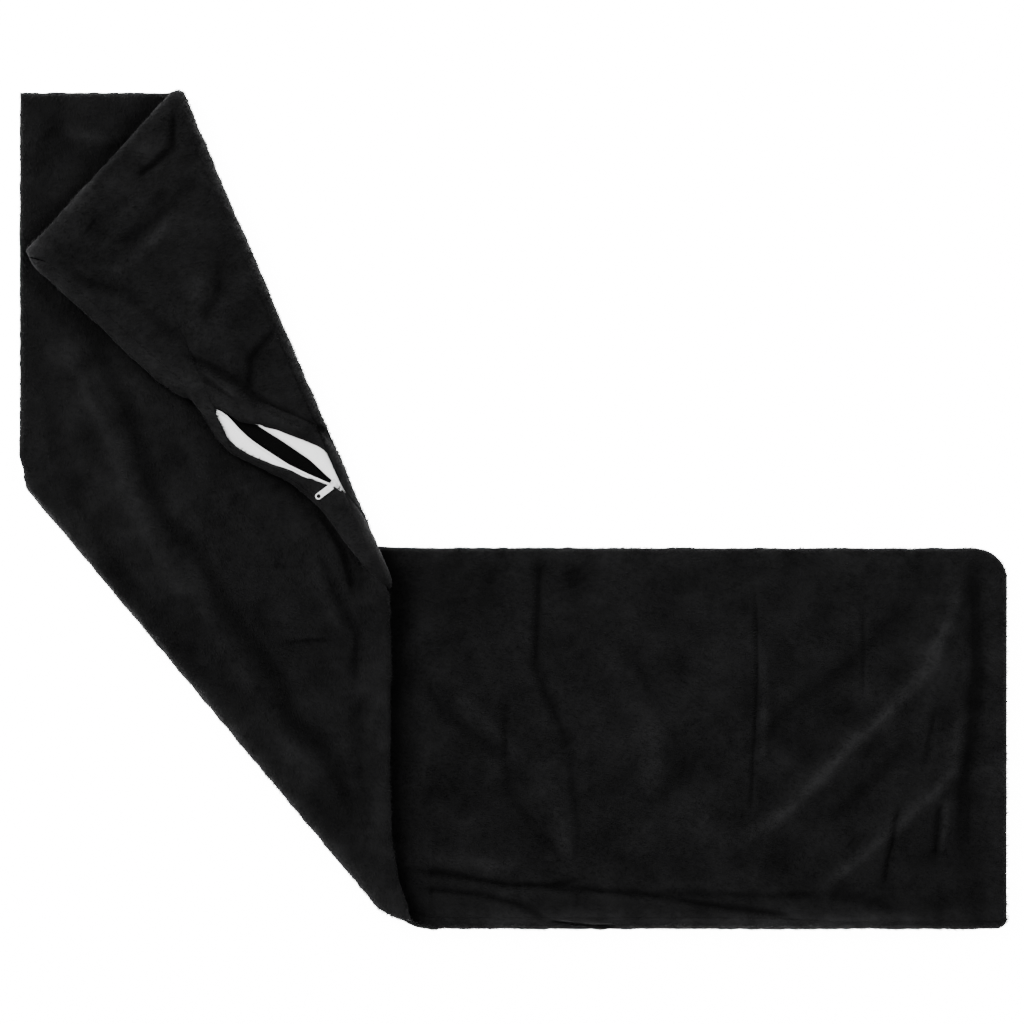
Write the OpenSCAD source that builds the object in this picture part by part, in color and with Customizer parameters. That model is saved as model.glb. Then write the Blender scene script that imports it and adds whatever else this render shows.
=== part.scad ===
// Plush body pillow cover: a zipped sleeve, laid folded, millimetres.
// Origin under the middle of the laid-out cover, Z up, floor at Z = 0.

/* [Sleeve] */
// Width of the flat sleeve
sleeve_w = 399; // [300:1:500]
// Thickness of one plush panel, pile included
plush_t = 4.5; // [3:0.1:8]
// Half the space between the panels of the empty sleeve
inner_half = 1.0; // [0.9:0.1:2]
// Length of the leg that lies open to the right
leg_len = 606; // [400:1:800]

/* [Folds] */
// Slope of the turned-down flap's fold
flap_angle = 66.7; // [60:0.1:75]
// Slope of the corner fold
corner_angle = 50.1; // [45:0.1:55]
// Clear space between layers at the flap's fold
flap_gap = 1.8; // [1:0.1:4]
// Clear space between layers at the corner fold
corner_gap = 1.0; // [0.6:0.1:4]
// Width of the slope where the upper leg comes down to the floor
drape_w = 50; // [44:1:54]

/* [Zip] */
// Width of one zip tape
tape_w = 11; // [9:0.5:16]
// Thickness of one zip tape
tape_t = 0.5; // [0.4:0.1:0.7]
// Height of the nylon coil
coil_h = 1.6; // [1.2:0.1:2.2]
// Widest opening between the plush lips
mouth_w = 34; // [20:1:50]

/* [Slider] */
// Length of the slider's plates
slider_l = 10; // [8:0.5:14]
// Width of the slider's plates
slider_w = 6.6; // [6:0.1:8]
// Length of the pull tab
tab_l = 25; // [18:0.5:35]
// Width of the pull tab
tab_w = 6.5; // [4:0.1:9]
// Radius of the hole in the pull tab
eye_r = 2.2; // [1.5:0.1:2.6]

/* [Hidden] */
$fn = 48;
half_t = inner_half + plush_t;
r_flap = half_t + flap_gap / 2;
r_corner = half_t + corner_gap / 2;
leg_rise = 2 * r_corner;
seam_gap = 0.1;
thread_d = 0.8;

// plan of the laid-out cover
leg_bottom = -437;
leg_top = leg_bottom + sleeve_w;
leg_end = 518;
left_edge = -515;
top_edge = 438;
flap_dir = [-cos(flap_angle), sin(flap_angle)];
flap_out = [sin(flap_angle), cos(flap_angle)];
flap_z0 = [-132, -83];
flap_len = 566;
flap_o0 = flap_z0 + flap_len * flap_dir;
flap_reach = 205.5;
flap_tip = [-511, 267];
corner_dir = [-cos(corner_angle), sin(corner_angle)];
corner_out = [-sin(corner_angle), -cos(corner_angle)];
corner_z0 = [-114, -428];
corner_len = 608;
corner_o0 = corner_z0 + corner_len * corner_dir;
leg_start = -87;

function mix(a, b, f) = a + (b - a) * f;
function clamp01(x) = min(1, max(0, x));
function smooth(x) = let (c = clamp01(x)) c * c * (3 - 2 * c);
function step3(x, xa, ya, xb, yb, xc, yc) =
    x < xb ? mix(ya, yb, clamp01((x - xa) / (xb - xa))) : mix(yb, yc, clamp01((x - xb) / (xc - xb)));

// height that the leg underneath gives to the layers above it
function under_edge(x) = leg_top + 0.00049 * pow(max(0, leg_start - x), 2);
function drape(x, y) = leg_rise * smooth(1 - (y - under_edge(x) + 2) / drape_w);

// one station: [zip-side point, other-side point, lift, turn, sine at zip side, sine at other side,
//  zip line's place, half the mouth, tape's half gap, sine at zip line, thinning, draped]
// Stations of the flap, from its tip to its fold
flap_sz = 0.437;
flap_d = [flap_reach - 8, flap_reach - 10, flap_reach - 13, flap_reach - 18, 170, 150, 130, 112, 98, 89, 85.3,
          81, 75, 66, 56, 46, 36, 27, 19, 12, 7, 3, 0];
function mouth(d) = (d > 85.2 || d < 3) ? 0 : let (u = (d - 3) / 82.3) sin(180 * u);
function zip_at(d) = step3(d, 0, 118, 85.3, 53.7, flap_reach, 27);
flap_st = [for (d = flap_d) let (f = d / flap_reach,
    th = d > flap_reach - 9 ? 0.2 : (d > flap_reach - 11 ? 0.6 : (d > flap_reach - 14 ? 0.88 : 1)),
    open = d > 86 ? 0 : (d > 85.2 ? 0.2 : (d > 4 ? 1 : 0.9)),
    gh = d > 86 ? 1.2 : (d > 85.2 ? 2.4 : 10.2 + 19.5 * pow(mouth(d), 0.7)))
    [mix(flap_z0, flap_tip, f), mix(flap_o0, flap_tip, f), 2 * r_flap, 180, flap_sz, 0.9,
     zip_at(d), gh, open < 0.5 ? 0.12 : max(2.2, gh - 14), 0.556, th, 1]];
// Around the flap's fold
flap_arc = [for (i = [7:-1:0]) let (a = 180 * i / 8)
    [flap_z0, flap_o0, 0, a, flap_sz, 0.9,
     a > 90 ? mix(67, 118, (a - 90) / 90) : mix(44, 67, a / 90),
     a > 150 ? 8.5 : 2.2, 0.12, 0.5, 1, 1]];
// Down the upper leg
end_arc = flap_o0[0] - left_edge;
side_arc = top_edge - corner_o0[1];
function far_side(a) = a < end_arc ? [flap_o0[0] - a, top_edge]
    : [left_edge + max(0, a - end_arc - side_arc + 60) * 0.19, top_edge - (a - end_arc)];
function near_side(y) = [y > -289 ? mix(-127.5, -126, clamp01((y + 289) / 160)) - 2.5 * clamp01((y + 140) / 60)
    : mix(-114, -127.5, smooth((y + 428) / 139)), y];
corner_f = end_arc / (end_arc + side_arc);
upper_f = [0.05, 0.12, 0.2, corner_f - 0.008, corner_f, corner_f + 0.008, 0.36, 0.43, 0.5, 0.58, 0.66, 0.74,
           0.82, 0.89, 0.95];
upper_st = [for (f = upper_f) let (o = far_side(f * (end_arc + side_arc)),
    z = near_side(mix(flap_z0[1], corner_z0[1], f)), r = (o - z) / norm(o - z))
    [z, o, 0, 0, max(0.43, abs(r[0])), f < corner_f ? abs(r[1]) : max(0.6, abs(r[0])),
     mix(44, 26, smooth(f * 1.4)), 2.0, 0.12, max(0.45, abs(r[0])), 1, 1]];
// Around the corner fold
corner_arc = [for (i = [0:8]) let (a = 180 * i / 8)
    [corner_z0, corner_o0, 0, -a, 0.641, 0.641, 27, 1.9, 0.12, 0.641, 1, 0]];
// Under the upper leg, turning from the corner fold to the open leg
wedge_z = [[-108, -431.5], [-101, -434], [-94, -436], [leg_start, leg_bottom]];
wedge_st = [for (k = [1:4]) let (f = k / 4, a = mix(90 + 39.9, 90, f), pre = (a - 90) * 1.2556,
    o = [leg_start, leg_bottom] + sleeve_w / cos(pre) * [cos(a), sin(a)],
    z = wedge_z[k - 1], s = mix(0.641, 1, f))
    [z, k == 4 ? [leg_start, leg_top] : o, -2 * r_corner, -180, s, s, mix(27, 17, f), 1.5, 0.12, s, 1, 0]];
// Along the open leg to its end
leg_x = [for (i = [1:8]) leg_start + i * 34, 213, 216, 250, 300, 350, 400, 440, 470, 483, 495, 504, 510, 514, 516.6];
function corner_inset(x, r) = r - sqrt(max(0, r * r - pow(max(0, x - leg_end + r), 2)));
leg_st = [for (x = leg_x)
    let (th = sqrt(max(0.03, 1 - pow(max(0, x - leg_end + 8) / 8, 2))))
    [[x, leg_bottom + corner_inset(x, 12)], [x, leg_top - corner_inset(x, 35)], -2 * r_corner, -180, 1, 1,
     17 - 9 * smooth((x - 240) / 120), x > 214 ? 0.2 : 1.2, 0.12, 1, th, 0]];
stations = concat(flap_st, flap_arc, upper_st, corner_arc, wedge_st, leg_st);
n_st = len(stations);
zip_first = 10;
zip_last = len(flap_st) + len(flap_arc) + len(upper_st) + len(corner_arc) + len(wedge_st) + 8;
corner_station = len(flap_st) + len(flap_arc) + 4;

// place of a point: y along the station's line from the zip side, n off the sleeve's middle
function place(s, y, n) = let (
    u = (s[1] - s[0]) / norm(s[1] - s[0]),
    a = s[3],
    out = a >= 0 && s[2] == 0 ? flap_out : corner_out,
    r = a >= 0 ? r_flap : r_corner,
    flat = s[2] != 0 || a == 0,
    lift = a > 0 ? (flat ? 2 * r_flap : r_flap - r_flap * cos(a))
         : (a < 0 ? (flat ? -2 * r_corner : -r_corner + r_corner * cos(a)) : 0),
    p = s[0] + y * u,
    q = flat ? p : p + out * (r * sin(abs(a)) + n * (a > 0 ? 1 : -1) * sin(abs(a))),
    nz = flat ? (a == 0 ? -1 : 1) : -cos(a),
    d = s[11] == 1 ? drape(q[0], q[1]) : leg_rise)
    [q[0], q[1], half_t + lift + d + n * nz];
function run(s) = norm(s[1] - s[0]);

// outer half thickness of the flat sleeve at y
function round_z(s) = min(half_t * 1.1 / s[4], run(s) * 0.3);
function round_o(s) = min(half_t * 1.1 / s[5], run(s) * 0.3);
function outer(s, y) = let (
    a = clamp01(y / round_z(s)), b = clamp01((run(s) - y) / round_o(s)))
    half_t * s[10] * sqrt(max(0.0004, 1 - pow(1 - a, 2))) * sqrt(max(0.0004, 1 - pow(1 - b, 2)));
function inner(s, y) = let (far = run(s) - 1.9 * round_o(s))
    mix(inner_half, seam_gap, smooth((y - far) / (0.6 * round_o(s)))) * (s[10] < 1 ? s[10] * 0.6 : 1);
function keep_in(s, y) = min(outer(s, y) * 0.8, inner(s, y));

// the panel lips' places and the tapes' sewn edges, kept in order and on the station
function lip_front(s) = min(s[6] + s[7], run(s) * 0.45 + 1.2);
function lip_back(s) = min(s[6] - s[7], run(s) * 0.45 - 1.2);
function tape_half(s) = (s[8] + tape_w) / s[9];
function sewn_front(s) = min(s[6] + s[8] / s[9] + tape_w / s[9], mix(lip_front(s), run(s) - round_o(s), 0.25));
function sewn_back(s) = max(round_z(s) * 0.62 + 1.6,
    min(lip_back(s) - 0.8, s[6] - s[8] / s[9] - tape_w / s[9]));

// where a station crosses the slope down to the floor, along the station
function slope_from(s) = let (uy = (s[1][1] - s[0][1]) / run(s), ux = (s[1][0] - s[0][0]) / run(s),
    x = s[0][0] + (leg_top + 20 - s[0][1]) / uy * ux)
    (under_edge(x) - 2 - s[0][1]) / uy;
function slope_len(s) = drape_w * run(s) / (s[1][1] - s[0][1]);
slope_dense = 4;
// places from lo to hi that lie closer together on that slope
function placed(s, lo, hi, q) = let (
    b = s[11] == 1 ? slope_from(s) : hi,
    l = min(hi, max(lo, b)), r = min(hi, max(l, b + (s[11] == 1 ? slope_len(s) : 0))),
    c = q * ((l - lo) + slope_dense * (r - l) + (hi - r)))
    c < l - lo ? lo + c
    : (c < l - lo + slope_dense * (r - l) ? l + (c - (l - lo)) / slope_dense
    : r + c - (l - lo) - slope_dense * (r - l));
field_n = 11;
near_n = 3;
function field_y(s) = let (lo = sewn_front(s), hi = run(s) - round_o(s))
    concat([lip_front(s)], [for (i = [0:field_n]) placed(s, lo, hi, i / field_n)]);
function near_y(s) = let (lo = round_z(s) * 0.75, hi = sewn_back(s))
    concat([for (i = [1:near_n]) placed(s, lo, max(hi, lo + 0.6), i / near_n)], [max(lip_back(s), hi + 0.7)]);
function turned(v) = [for (i = [len(v) - 1:-1:0]) v[i]];
edge_f = [0.68, 0.46, 0.28, 0.12, 0.02];
turn_f = [0.7, 0.45, 0.22, 0.06];
function rim(s, y) = max(outer(s, y), seam_gap * 1.5 * s[10]);

// loops of [y, n] around each panel's section
function front_loop(s) = let (f = field_y(s)) concat(
    [for (y = f) [y, outer(s, y)]],
    [for (e = edge_f) let (y = run(s) - round_o(s) * e) [y, rim(s, y)]],
    [[run(s) - round_o(s) * 0.3, seam_gap * 0.5 * s[10]]],
    [for (y = turned(f)) [y, keep_in(s, y)]]);
function back_loop(s) = let (f = field_y(s), g = near_y(s), a = round_z(s), t = a * 0.62) concat(
    [for (e = turned(edge_f)) let (y = run(s) - round_o(s) * e) [y, -rim(s, y)]],
    [for (y = turned(f)) [y, -outer(s, y)]],
    [for (y = turned(g)) [y, -outer(s, y)]],
    [for (e = turn_f) [a * e, -outer(s, a * e)]],
    [[0.05, 0]],
    [for (e = turned(turn_f)) [a * e, outer(s, a * e)]],
    [for (y = g) [y, outer(s, y)]],
    [for (y = turned(g)) [max(y, t + 1.2), keep_in(s, max(y, t + 1.2))]],
    [[t, 0.3 * keep_in(s, t)], [t, -0.3 * keep_in(s, t)]],
    [for (y = g) [max(y, t + 1.2), -keep_in(s, max(y, t + 1.2))]],
    [for (y = f) [y, -keep_in(s, y)]],
    [[run(s) - round_o(s) * 0.3, -seam_gap * 0.5 * s[10]]]);

function ring_points(st, kind) = [for (s = st) for (q = kind == 0 ? front_loop(s) : back_loop(s)) place(s, q[0], q[1])];
// which way each stretch of a loop runs, so that all layers crease alike
function runs_back(loop) = [for (j = [0:len(loop) - 1]) loop[(j + 1) % len(loop)][0] < loop[j][0]];

// closed skin over rings of m points
module skin(pts, m, back = []) {
    k = len(pts) / m;
    sides = [for (i = [0:k - 2]) for (j = [0:m - 1]) let (a = i * m + j, b = i * m + (j + 1) % m) each
        (len(back) > 0 && back[j] ? [[a, b, a + m], [b, b + m, a + m]] : [[a, b, b + m], [a, b + m, a + m]])];
    polyhedron(pts, concat([[for (j = [m - 1:-1:0]) j]], sides, [[for (j = [0:m - 1]) (k - 1) * m + j]]));
}

function part_of(a, b) = [for (i = [a:b]) stations[i]];
// a flat strip: for each station its two edges along y, and its lowest and highest n
module strip(st, lo, hi, n_lo, n_hi) {
    skin([for (i = [0:len(st) - 1]) let (s = st[i])
        for (q = [[lo[i], n_lo], [lo[i], n_hi], [hi[i], n_hi], [hi[i], n_lo]]) place(s, q[0], q[1])], 4);
}

module plush_panel_front() {
    color("#1b1b1d") skin(ring_points(stations, 0), len(front_loop(stations[30])),
        runs_back(front_loop(stations[30])));
}

module plush_panel_back() {
    color("#1b1b1d") skin(ring_points(stations, 1), len(back_loop(stations[30])),
        runs_back(back_loop(stations[30])));
}

zip_st = part_of(zip_first, zip_last);
// the coil's outer side, the tape's free edge and its sewn edge, off the zip line
coil_w = 1.0;
tape_lo = [for (s = zip_st) s[8] / s[9]];
tape_n = 0.1;

module zip_tape_front() {
    color("#e9e9e6") strip(zip_st, [for (i = [0:len(zip_st) - 1]) zip_st[i][6] + tape_lo[i]],
        [for (s = zip_st) sewn_front(s)], tape_n, tape_n + tape_t);
}
module zip_tape_back() {
    color("#e9e9e6") strip(zip_st,
        [for (s = zip_st) sewn_back(s)],
        [for (i = [0:len(zip_st) - 1]) zip_st[i][6] - tape_lo[i]], tape_n, tape_n + tape_t);
}
coil_n = tape_n + tape_t + 0.1;
coil_st = part_of(zip_first + 1, zip_last);
module zip_coil_front() {
    color("#f4f4f2") strip(coil_st, [for (s = coil_st) s[6] + s[8] / s[9]],
        [for (s = coil_st) s[6] + s[8] / s[9] + coil_w], coil_n, coil_n + coil_h);
}
module zip_coil_back() {
    color("#f4f4f2") strip(coil_st, [for (s = coil_st) s[6] - s[8] / s[9] - coil_w],
        [for (s = coil_st) s[6] - s[8] / s[9]], coil_n, coil_n + coil_h);
}

// stitching under the tapes
stitch_n = -0.45;
module zip_stitch_front() {
    color("#2a2a2c") strip(zip_st, [for (s = zip_st) sewn_front(s) - 3.2], [for (s = zip_st) sewn_front(s) - 2.4],
        stitch_n, stitch_n + 0.5);
}
module zip_stitch_back() {
    color("#2a2a2c") strip(zip_st,
        [for (s = zip_st) sewn_back(s) + 2.4],
        [for (s = zip_st) sewn_back(s) + 3.2],
        stitch_n, stitch_n + 0.5);
}

// seam threads in the seam allowance, inside the sleeve
function seam_y(s) = run(s) - 2.9 * round_o(s) - 8 * smooth((run(s) - 60) / 60);
module far_thread(st) {
    strip(st, [for (s = st) seam_y(s) - thread_d], [for (s = st) seam_y(s)], -0.2, 0.2);
}
module seam_thread_flap_end() {
    color("#141416") far_thread(part_of(4, corner_station - 1));
}
module seam_thread_long() {
    color("#141416") {
        far_thread(part_of(corner_station + 1, corner_station + 8));
        far_thread(part_of(corner_station + 11, n_st - 7));
    }
}
end_thread_x = leg_end - 20;
module seam_thread_open_end() {
    color("#141416") translate([end_thread_x, leg_bottom + 30, half_t]) rotate([-90, 0, 0])
        cylinder(d = thread_d, h = sleeve_w - 60, $fn = 24);
}
module seam_thread_zip_side() {
    color("#141416") {
        st_a = part_of(4, zip_first - 2);
        strip(st_a, [for (s = st_a) s[6] - thread_d / 2], [for (s = st_a) s[6] + thread_d / 2], 0, thread_d);
        st_b = part_of(zip_last + 2, n_st - 7);
        strip(st_b, [for (s = st_b) s[6] - thread_d / 2], [for (s = st_b) s[6] + thread_d / 2], 0, thread_d);
    }
}

// stitched bars across the ends of the tapes
mouth_far = stations[zip_first];
module bartack_open_end() {
    c = place(mouth_far, mouth_far[6], 1.1);
    color("#2a2a2c") translate([c[0] + 1.2, c[1] - 0.8, c[2]]) rotate(-32.9) translate([0, -1.1, 0]) cube([1.2, 2.2, 0.8]);
}
module bartack_closed_end() {
    color("#2a2a2c") translate([leg_start + 8 * 34 - 3.2, leg_bottom + 17 - 0.9, half_t + coil_n + coil_h + 0.1])
        cube([2.4, 1.8, 0.8]);
}

// slider and pull tab
slider_c = [-184.1, 28.9, half_t + 2 * r_flap];
slider_turn = -33.2;
plate_low = -0.9;
plate_low_t = 0.8;
plate_top = 3.1;
plate_t = 0.85;
pin_z = 7.1;
pin_r = 0.6;
knuckle_r = 1.1;
knuckle_w = 2.6;
tab_turn = 216.9;
tab_t = 1.2;
module plate(z, thick) {
    translate([0, 0, z]) linear_extrude(thick) intersection() {
        square([slider_l, slider_w], center = true);
        circle(r = slider_l * 0.52);
    }
}
module slider_body() {
    color("#f2f2f0") translate(slider_c) {
        rotate(slider_turn) {
            plate(plate_low, plate_low_t);
            plate(plate_top, plate_t);
            // the post that parts the two coils
            translate([-slider_l / 2 + 0.75, 0, plate_low + plate_t / 2]) cylinder(r = 0.6, h = plate_top - plate_low);
            // side flanges over the tapes
            for (k = [-1, 1])
                translate([-slider_l * 0.32, k * (slider_w / 2 - 0.25) - 0.25, 2.45]) cube([slider_l * 0.64, 0.5, 1.1]);
        }
        // lugs and pin that carry the pull tab
        rotate(tab_turn) {
            for (k = [-1, 1]) translate([0, k * (knuckle_w / 2 + 0.6), 0]) {
                translate([-0.9, -0.4, plate_top + plate_t / 2]) cube([1.8, 0.8, pin_z - plate_top - plate_t / 2]);
                translate([0, 0.4, pin_z]) rotate([90, 0, 0]) cylinder(r = 0.9, h = 0.8);
            }
            translate([0, knuckle_w / 2 + 0.6, pin_z]) rotate([90, 0, 0]) cylinder(r = pin_r, h = knuckle_w + 1.2);
        }
    }
}
module pull_tab() {
    color("#f6f6f4") translate(slider_c) rotate(tab_turn) difference() {
        union() {
            translate([0, knuckle_w / 2, pin_z]) rotate([90, 0, 0]) cylinder(r = knuckle_r, h = knuckle_w);
            translate([0, -knuckle_w / 2, pin_z - tab_t / 2]) cube([4.5, knuckle_w, tab_t]);
            translate([4.2, -tab_w / 2, pin_z - tab_t / 2]) cube([tab_l - 4.2 - tab_w / 2, tab_w, tab_t]);
            translate([tab_l - tab_w / 2, 0, pin_z - tab_t / 2]) cylinder(r = tab_w / 2, h = tab_t);
        }
        translate([0, knuckle_w, pin_z]) rotate([90, 0, 0]) cylinder(r = pin_r + 0.08, h = 2 * knuckle_w);
        translate([tab_l - tab_w / 2 - 0.3, 0, pin_z - tab_t]) cylinder(r = eye_r, h = 2 * tab_t);
    }
}

plush_panel_front();
plush_panel_back();
zip_tape_front();
zip_tape_back();
zip_coil_front();
zip_coil_back();
slider_body();
pull_tab();
bartack_open_end();
bartack_closed_end();
seam_thread_long();
seam_thread_flap_end();
seam_thread_open_end();
seam_thread_zip_side();
zip_stitch_front();
zip_stitch_back();
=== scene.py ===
import math
import bpy
import numpy as np
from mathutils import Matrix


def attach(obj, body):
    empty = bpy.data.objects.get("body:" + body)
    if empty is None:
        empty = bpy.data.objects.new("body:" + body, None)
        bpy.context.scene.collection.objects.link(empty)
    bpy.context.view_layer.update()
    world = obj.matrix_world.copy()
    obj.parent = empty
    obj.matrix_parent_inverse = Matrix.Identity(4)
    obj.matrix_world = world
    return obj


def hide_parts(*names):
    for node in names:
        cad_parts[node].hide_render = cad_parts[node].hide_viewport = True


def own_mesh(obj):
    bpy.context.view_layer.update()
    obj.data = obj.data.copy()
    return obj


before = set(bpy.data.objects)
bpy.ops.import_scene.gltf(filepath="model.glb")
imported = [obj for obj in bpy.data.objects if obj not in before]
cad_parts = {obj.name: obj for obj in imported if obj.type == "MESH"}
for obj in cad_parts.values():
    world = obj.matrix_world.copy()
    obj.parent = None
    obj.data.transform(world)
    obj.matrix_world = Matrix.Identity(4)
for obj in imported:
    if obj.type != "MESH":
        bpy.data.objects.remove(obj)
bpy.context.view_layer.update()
rng = np.random.default_rng(7)

# ---------------------------------------------------------------- camera and stage
MM = 0.001
CAMERA_HEIGHT = 4.022  # metres, looking straight down

cam_data = bpy.data.cameras.new("camera")
cam_data.lens = 135
cam_data.sensor_width = 36
cam = bpy.data.objects.new("camera", cam_data)
cam.location = (0.0, -0.0005, CAMERA_HEIGHT)
bpy.context.scene.collection.objects.link(cam)
bpy.context.scene.camera = cam


def link(obj):
    bpy.context.scene.collection.objects.link(obj)
    return obj


# ---------------------------------------------------------------- sizes, mm, as in the CAD
INNER, PLUSH = 1.0, 4.5  # half the space inside the sleeve, and one panel's thickness
H = INNER + PLUSH  # half the sleeve's thickness
RF = H + 0.9  # radius of the sleeve's middle where the flap folds
RC = H + 0.5  # the same where the corner folds
RISE = 2 * RC  # how high the upper leg lies over the open leg
SLEEVE_W = 399.0
BOT, TOP_LEG, END = -437.0, -38.0, 518.0  # the open leg's lower side, upper side and end
LEFT, TOPE = -515.0, 438.0  # the upper leg's left side and end
X0 = -87.0  # where the open leg starts
FLAP_ANGLE = math.radians(66.7)
FDIR = np.array([-math.cos(FLAP_ANGLE), math.sin(FLAP_ANGLE)])
FOUT = np.array([math.sin(FLAP_ANGLE), math.cos(FLAP_ANGLE)])
FZ0 = np.array([-132.0, -83.0])  # the flap's fold, from here on the zip side
FO0 = FZ0 + 566.0 * FDIR  # to here
REACH = 205.5  # from the flap's fold to its tip
TIP = np.array([-511.0, 267.0])
CORNER_ANGLE = math.radians(50.1)
CDIR = np.array([-math.cos(CORNER_ANGLE), math.sin(CORNER_ANGLE)])
COUT = np.array([-math.sin(CORNER_ANGLE), -math.cos(CORNER_ANGLE)])
CZ0 = np.array([-114.0, -428.0])  # the corner's fold, from here on the zip side
CO0 = CZ0 + 608.0 * CDIR  # to here
ZIP_SLOPE = 0.437
LAP = 0.4  # each lip of the closed zip passes the zip's line by this much
MIN_THICK = 0.15


def smooth(x):
    """0 to 1 with soft ends."""
    c = np.clip(x, 0, 1)
    return c * c * (3 - 2 * c)


def mix(a, b, f):
    return a + (b - a) * f


def drape(x, y):
    """Height of the upper leg's lay: over the open leg, then down to the floor."""
    edge = TOP_LEG + 0.00049 * np.maximum(0, X0 - x) ** 2
    return RISE * smooth(1 - (y - edge + 2) / 50.0)


# ---------------------------------------------------------------- smooth noise
def noise2(x, y, size, seed=0):
    """Smooth value noise of about unit range, on a lattice of the given size."""
    x = x / size + 1000.0
    y = y / size + 1000.0
    xi, yi = np.floor(x), np.floor(y)
    fx, fy = x - xi, y - yi
    fx, fy = fx * fx * (3 - 2 * fx), fy * fy * (3 - 2 * fy)

    def at(a, b):
        v = np.sin(a * 127.1 + b * 311.7 + seed * 74.7) * 43758.5453
        return 2 * (v - np.floor(v)) - 1

    return mix(mix(at(xi, yi), at(xi + 1, yi), fx), mix(at(xi, yi + 1), at(xi + 1, yi + 1), fx), fy)


# ---------------------------------------------------------------- stations of the folded sleeve
FLAP, FARC, UPPER, CARC, WEDGE, LEG = range(6)  # zones along the sleeve
LAID_OVER, FLAP_BEND, RAISED, CORNER_BEND, ON_FLOOR = range(1, 6)  # how a row lies
rows = []


def add_row(zip_end, far_end, mode, turn, zip_sine, far_sine, zip_place, slant, thin, zone):
    """One line across the sleeve, from its zip side to its other side.

    turn is the fold's angle, the sines are how squarely the row meets each side, zip_place is the zip's
    distance along the row, slant is the same sine at the zip, and thin narrows the sleeve at its ends.
    """
    rows.append((*zip_end, *far_end, mode, turn, zip_sine, far_sine, zip_place, slant, thin, zone))


def zip_at(d):
    """The zip's distance from the flap's zip-side edge, d from the flap's fold."""
    return np.interp(d, [0, 70, 86, 90, 112, REACH], [118, 65.2, 40, 37, 42, 27])


d = REACH - 6.0
while d > 0.01:
    f = d / REACH
    e = REACH - d
    th = math.sqrt(max(0.03, 1 - max(0, (14 - e) / 8.5) ** 2)) if e < 14 else 1
    add_row(mix(FZ0, TIP, f), mix(FO0, TIP, f), LAID_OVER, 180, ZIP_SLOPE, 0.9, zip_at(d), 0.556, th, FLAP)
    d -= 0.8 if e < 16 or d < 5 or 84 < d < 93 else 2.1
for i in range(31):
    a = 180 * (30 - i) / 30
    place_on_arc = mix(67, 118, (a - 90) / 90) if a > 90 else mix(44, 67, a / 90)
    add_row(FZ0, FO0, FLAP_BEND, a, ZIP_SLOPE, 0.9, place_on_arc, 0.5, 1, FARC)
END_ARC = FO0[0] - LEFT
SIDE_ARC = TOPE - CO0[1]
CORNER_F = END_ARC / (END_ARC + SIDE_ARC)


def far_side(a):
    """Point on the upper leg's end and left side, a from the flap's fold."""
    if a < END_ARC:
        return np.array([FO0[0] - a, TOPE])
    b = a - END_ARC
    return np.array([LEFT + 6.0 * float(smooth((b - SIDE_ARC + 24) / 24)), TOPE - b])


def near_side(y):
    """Point on the upper leg's right side."""
    if y > -289:
        x = mix(-127.5, -126, min(1, max(0, (y + 289) / 160))) - 2.5 * min(1, max(0, (y + 140) / 60))
        return np.array([x, y])
    x = np.interp(y, [-428, -410, -389.6, -348.6, -289], [-105.0, -110.0, -116.5, -124.0, -127.5])
    return np.array([x, y])


fs = sorted(set([round(v, 5) for v in np.linspace(0.003, 0.997, 210)] + [round(CORNER_F, 5)]))
for f in fs:
    o = far_side(f * (END_ARC + SIDE_ARC))
    z = near_side(mix(FZ0[1], CZ0[1], f))
    r = (o - z) / np.linalg.norm(o - z)
    far_sine = abs(r[1]) if f < CORNER_F else max(0.6, abs(r[0]))
    zip_place = mix(44, 26, float(smooth(f * 1.4)))
    add_row(z, o, RAISED, 0, max(0.43, abs(r[0])), far_sine, zip_place, max(0.45, abs(r[0])), 1, UPPER)
CO0 = np.array([LEFT + 6.0, CO0[1]])
CO1 = np.array([-502.5, 36.0])
CZ1 = np.array([-105.0, -428.0])
for i in range(16):
    f = float(smooth(i / 6))
    add_row(mix(CZ1, CZ0, f), mix(CO0, CO1, f), CORNER_BEND, -180 * i / 15, 0.641, 0.641, 27, 0.641, 1, CARC)
wz = np.array([[-114, -428], [-108, -431.5], [-101, -434], [-94, -436], [-87, -437.0]])
for i in range(1, 31):
    f = i / 30
    a = math.radians(mix(90 + 39.9, 90, f))
    pre = (a - math.pi / 2) * 1.2556
    o = np.array([X0, BOT]) + SLEEVE_W / math.cos(pre) * np.array([math.cos(a), math.sin(a)])
    z = np.array([np.interp(f, [0, .25, .5, .75, 1], wz[:, 0]), np.interp(f, [0, .25, .5, .75, 1], wz[:, 1])])
    s = mix(0.641, 1, f)
    add_row(z, o, ON_FLOOR, -180, s, s, mix(27, 12, f), s, 1, WEDGE)
x = X0 + 2.4
while x < END - 0.3:
    th = math.sqrt(max(0.03, 1 - max(0, x - END + 8) ** 2 / 64))
    zi = 12 - math.sqrt(144 - max(0, x - END + 12) ** 2)
    oi = 35 - math.sqrt(35 ** 2 - max(0, x - END + 35) ** 2)
    zip_place = mix(12, 8, float(smooth((x - 240) / 120)))
    add_row((x, BOT + zi), (x, TOP_LEG - oi), ON_FLOOR, -180, 1, 1, zip_place, 1, th, LEG)
    x += 2.4 if x < END - 12 else 0.7
R = np.array(rows, float)
NR = len(R)
ZONE = R[:, 11].astype(int)
UNIT = R[:, 2:4] - R[:, 0:2]
UNIT = UNIT / np.linalg.norm(UNIT, axis=1)[:, None]
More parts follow.
